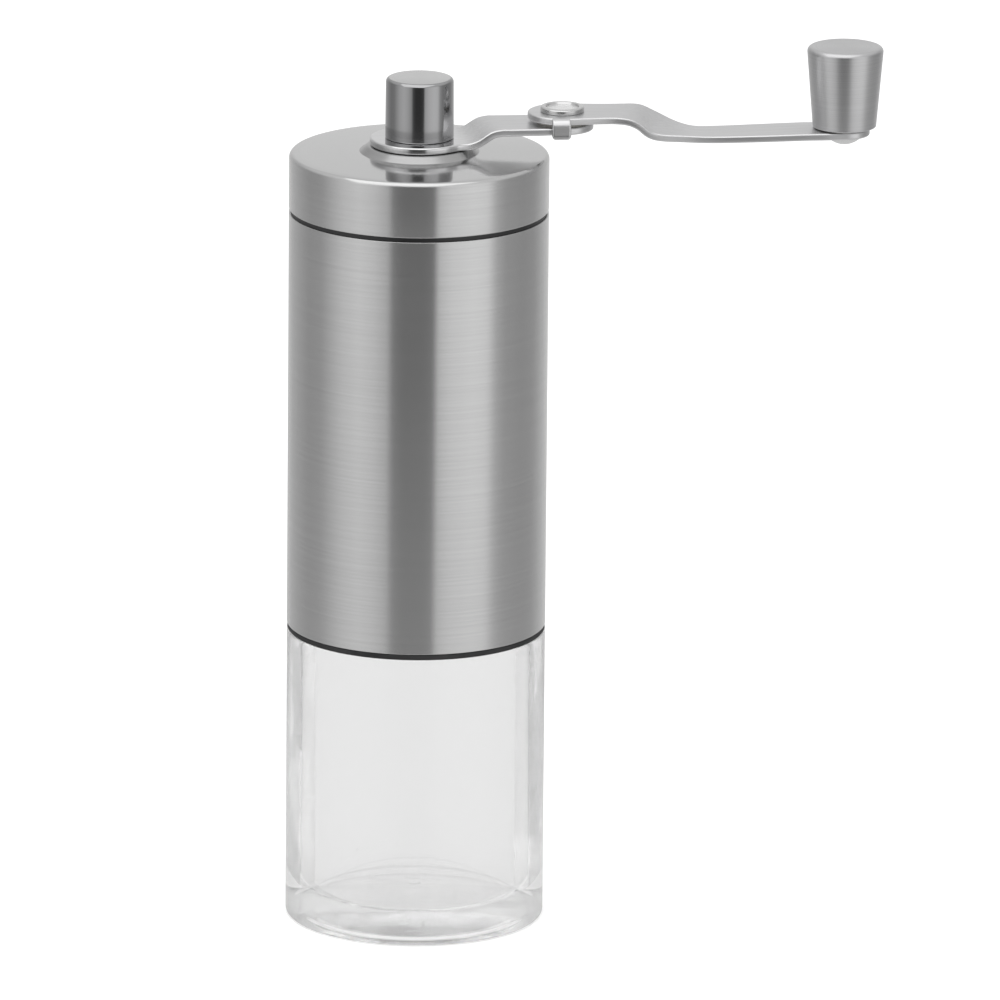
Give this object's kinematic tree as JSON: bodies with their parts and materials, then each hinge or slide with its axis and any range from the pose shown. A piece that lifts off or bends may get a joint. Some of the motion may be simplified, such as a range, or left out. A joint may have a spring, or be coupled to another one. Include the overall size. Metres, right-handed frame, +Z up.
{
  "type": "hand crank coffee grinder",
  "caption": "Slim cylindrical hand coffee grinder: steel body over a clear jar, lid with a folding crank and turned knob, conical burrs inside.",
  "frame": {"origin": "centre of the jar's foot, on the surface that the grinder stands on", "axes": "+Z up along the shaft, +X from the shaft towards the crank's knob at rest"},
  "size_m": [0.1237, 0.054, 0.1848],
  "materials": {
    "brushed_steel": "brushed round the axis",
    "satin_steel": "satin, stamped edges",
    "turned_steel": "fine turned satin",
    "polished_steel": "polished",
    "shaft_steel": "ground",
    "spring_steel": "oiled spring steel",
    "clear_acrylic": "clear, polished",
    "black_rubber": "matt",
    "black_plastic": "moulded",
    "ceramic": "fired, unglazed",
    "bronze": "turned",
    "nylon": "natural nylon"
  },
  "bodies": {
    "body": {"body_tube": "brushed_steel", "burr_housing": "black_plastic", "burr_retainer": "shaft_steel", "retainer_screws": "shaft_steel", "outer_burr": "ceramic", "lower_bush": "bronze", "upper_bridge": "black_plastic", "upper_bush": "bronze"},
    "jar": {"jar": "clear_acrylic", "jar_seal": "black_rubber"},
    "shaft": {"drive_shaft": "shaft_steel", "shaft_clip": "spring_steel", "thrust_washer": "shaft_steel", "burr_spring": "spring_steel"},
    "carrier": {"burr_carrier": "shaft_steel", "inner_burr": "ceramic", "click_plate": "spring_steel"},
    "adjuster": {"adjuster_wheel": "black_plastic", "adjuster_nut": "bronze"},
    "lid": {"lid": "brushed_steel", "lid_liner": "black_plastic", "lid_seal": "black_rubber"},
    "crank": {"inner_arm": "satin_steel", "socket_cap": "polished_steel", "fold_washer": "nylon", "fold_rivet": "polished_steel"},
    "crank_arm": {"outer_arm": "satin_steel", "knob_pin": "polished_steel", "knob_washer": "nylon"},
    "knob": {"knob": "turned_steel", "knob_sleeve": "nylon"}
  },
  "joints": [
    {"name": "shaft_turn", "type": "hinge", "parent": "body", "child": "shaft", "pos_m": [0, 0, 0.1], "axis": [0, 0, 1], "continuous": true},
    {"name": "burr_set", "type": "slide", "parent": "shaft", "child": "carrier", "axis": [0, 0, 1], "range_m": [-0.0014, 0.001], "deforming": ["burr_spring"]},
    {"name": "adjust_turn", "type": "hinge", "parent": "carrier", "child": "adjuster", "pos_m": [0, 0, 0.069], "axis": [0, 0, 1], "range_deg": [-631, 451]},
    {"name": "jar_release", "type": "slide", "parent": "body", "child": "jar", "axis": [0, 0, -1], "range_m": [0, 0.09]},
    {"name": "crank_lift", "type": "slide", "parent": "shaft", "child": "crank", "axis": [0, 0, 1], "range_m": [0, 0.1]},
    {"name": "lid_lift", "type": "slide", "parent": "body", "child": "lid", "axis": [0, 0, 1], "range_m": [0, 0.0501]},
    {"name": "arm_fold", "type": "hinge", "parent": "crank", "child": "crank_arm", "pos_m": [0.0297, 0, 0.1702], "axis": [0, 0, 1], "range_deg": [0, 140]},
    {"name": "knob_spin", "type": "hinge", "parent": "crank_arm", "child": "knob", "pos_m": [0.08865, 0, 0.176], "axis": [0, 0, 1], "continuous": true}
  ],
  "couplings": [
    {"joint": "adjust_turn", "follows": "burr_set", "rad_per_m": 7854},
    {"joint": "lid_lift", "follows": "crank_lift", "ratio": 0.5}
  ]
}
